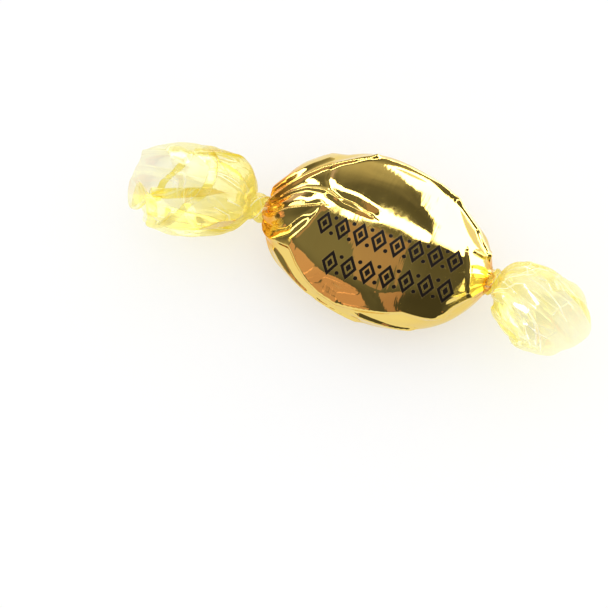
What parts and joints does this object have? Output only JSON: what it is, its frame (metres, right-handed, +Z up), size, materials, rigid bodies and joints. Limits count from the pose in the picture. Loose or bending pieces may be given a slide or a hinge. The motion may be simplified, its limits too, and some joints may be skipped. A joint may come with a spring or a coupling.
{
  "type": "twist-wrapped caramel",
  "caption": "Oval boiled caramel in gold metallised film, wrung into a short rope at both ends, each end opening into a ruffled bell of clear pale yellow film.",
  "frame": {"origin": "on the surface the sweet lies on, under the middle of the whole part's bounding box", "axes": "+X along the sweet towards the shorter bell, +Y towards the back, +Z up from the surface"},
  "size_m": [0.062, 0.0222, 0.0169],
  "materials": {
    "gold_film": "metallised, mirror bright",
    "clear_film": "clear, pale yellow, glossy"
  },
  "bodies": {
    "root": {"wrapped_candy": "gold_film"}
  },
  "joints": []
}
